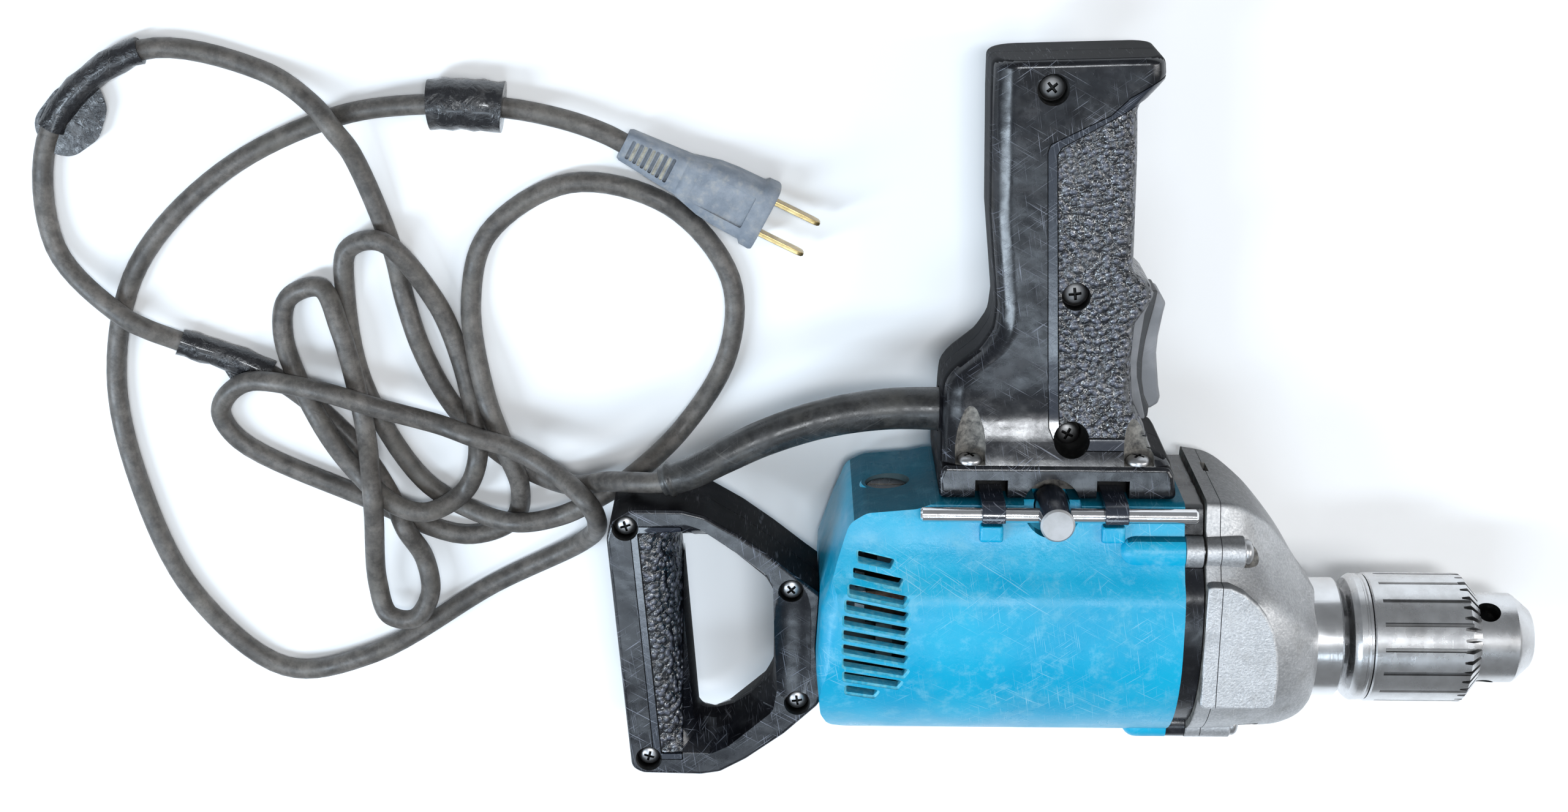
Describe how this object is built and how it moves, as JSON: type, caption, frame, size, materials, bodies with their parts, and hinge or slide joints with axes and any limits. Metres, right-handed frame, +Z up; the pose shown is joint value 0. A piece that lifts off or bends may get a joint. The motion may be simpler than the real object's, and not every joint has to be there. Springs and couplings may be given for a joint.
{
  "type": "electric drill",
  "caption": "Electric drill lying on its side, with a pistol grip, a D-handle at the rear, a keyed chuck with its key in clips, and a loosely laid mains cord.",
  "frame": {"origin": "middle of the drill without its cord, on the table it lies on", "axes": "+X along the spindle towards the chuck, +Y from the spindle towards the pistol grip, +Z up from the table"},
  "size_m": [0.5429, 0.2624, 0.093],
  "materials": {
    "housing_plastic": "semi-gloss moulded plastic, sky blue, dusty",
    "cast_case": "bare casting with dirt in the corners",
    "dark_steel": "dulled steel",
    "chuck_steel": "dark oiled steel",
    "copper": "copper",
    "bright_steel": "ground steel",
    "key_chrome": "worn plating",
    "black_plastic": "matt moulded plastic",
    "carbon": "pressed carbon",
    "grip_plastic": "moulded plastic with worn glossy edges",
    "handle_plastic": "moulded plastic with worn glossy edges",
    "soft_rubber": "matt rubber",
    "cord_rubber": "dusty black rubber",
    "plug_rubber": "dull blue-grey moulding",
    "blade_brass": "tarnished",
    "tape_plastic": "wrinkled insulating tape"
  },
  "bodies": {
    "drill": {"motor_housing": "housing_plastic", "gear_plate": "black_plastic", "gear_case_rear": "cast_case", "gear_case_front": "cast_case", "case_screw_1": "dark_steel", "case_screw_2": "dark_steel", "case_screw_3": "dark_steel", "case_screw_4": "dark_steel", "stator": "dark_steel", "field_coil_near": "copper", "field_coil_far": "copper", "bearing_front": "bright_steel", "bearing_rear": "bright_steel", "brush_upper": "carbon", "brush_cap_upper": "black_plastic", "brush_lower": "carbon", "brush_cap_lower": "black_plastic", "bearing_spindle": "bright_steel", "grip_near": "grip_plastic", "grip_far": "grip_plastic", "grip_screw_1": "dark_steel", "grip_screw_2": "dark_steel", "grip_screw_3": "dark_steel", "base_screw_1": "dark_steel", "base_screw_2": "dark_steel", "base_screw_3": "dark_steel", "base_screw_4": "dark_steel", "switch_body": "black_plastic", "handle_near": "handle_plastic", "handle_far": "handle_plastic", "handle_screw_1": "dark_steel", "handle_screw_2": "dark_steel", "handle_screw_3": "dark_steel", "handle_screw_4": "dark_steel", "chuck_key": "key_chrome", "key_strap_1": "soft_rubber", "key_strap_2": "soft_rubber", "cord_guard": "soft_rubber", "cord": "cord_rubber", "plug_body": "plug_rubber", "plug_blade_left": "blade_brass", "plug_blade_right": "blade_brass", "tape_long": "tape_plastic", "tape_short": "tape_plastic", "tape_roll": "tape_plastic"},
    "armature": {"armature_shaft": "bright_steel", "armature_core": "dark_steel", "commutator": "copper", "fan": "black_plastic"},
    "idler": {"idler_shaft": "bright_steel", "idler_gear": "dark_steel"},
    "spindle_group": {"spindle": "bright_steel", "spindle_gear": "dark_steel", "chuck_body": "chuck_steel"},
    "sleeve": {"chuck_sleeve": "chuck_steel"},
    "jaw_a": {"jaw_1": "bright_steel"},
    "jaw_b": {"jaw_2": "bright_steel"},
    "jaw_c": {"jaw_3": "bright_steel"},
    "trigger_body": {"trigger": "grip_plastic"}
  },
  "joints": [
    {"name": "spindle_spin", "type": "hinge", "parent": "drill", "child": "spindle_group", "pos_m": [0.11725, -0.0832, 0.045], "axis": [1, 0, 0], "continuous": true},
    {"name": "idler_spin", "type": "hinge", "parent": "drill", "child": "idler", "pos_m": [0.05725, -0.05981, 0.06572], "axis": [1, 0, 0], "continuous": true},
    {"name": "armature_spin", "type": "hinge", "parent": "drill", "child": "armature", "pos_m": [-0.02275, -0.0672, 0.045], "axis": [1, 0, 0], "continuous": true},
    {"name": "sleeve_turn", "type": "hinge", "parent": "spindle_group", "child": "sleeve", "pos_m": [0.12725, -0.0832, 0.045], "axis": [1, 0, 0], "range_deg": [-720, 720]},
    {"name": "jaw_a_slide", "type": "slide", "parent": "spindle_group", "child": "jaw_a", "axis": [0.9563, 0.0102, -0.2922], "range_m": [-0.008, 0.008]},
    {"name": "jaw_b_slide", "type": "slide", "parent": "spindle_group", "child": "jaw_b", "axis": [0.9563, 0.2479, 0.1549], "range_m": [-0.008, 0.008]},
    {"name": "jaw_c_slide", "type": "slide", "parent": "spindle_group", "child": "jaw_c", "axis": [0.9563, -0.2581, 0.1373], "range_m": [-0.008, 0.008]},
    {"name": "trigger_pull", "type": "slide", "parent": "drill", "child": "trigger_body", "axis": [-1, 0, 0], "range_m": [0, 0.006], "stiffness_N_per_m": 700, "springref_m": -0.002}
  ],
  "couplings": [
    {"joint": "idler_spin", "follows": "spindle_spin", "ratio": -4},
    {"joint": "armature_spin", "follows": "spindle_spin", "ratio": 21.143},
    {"joint": "jaw_a_slide", "follows": "sleeve_turn", "m_per_rad": 0.00063},
    {"joint": "jaw_b_slide", "follows": "sleeve_turn", "m_per_rad": 0.00063},
    {"joint": "jaw_c_slide", "follows": "sleeve_turn", "m_per_rad": 0.00063}
  ]
}
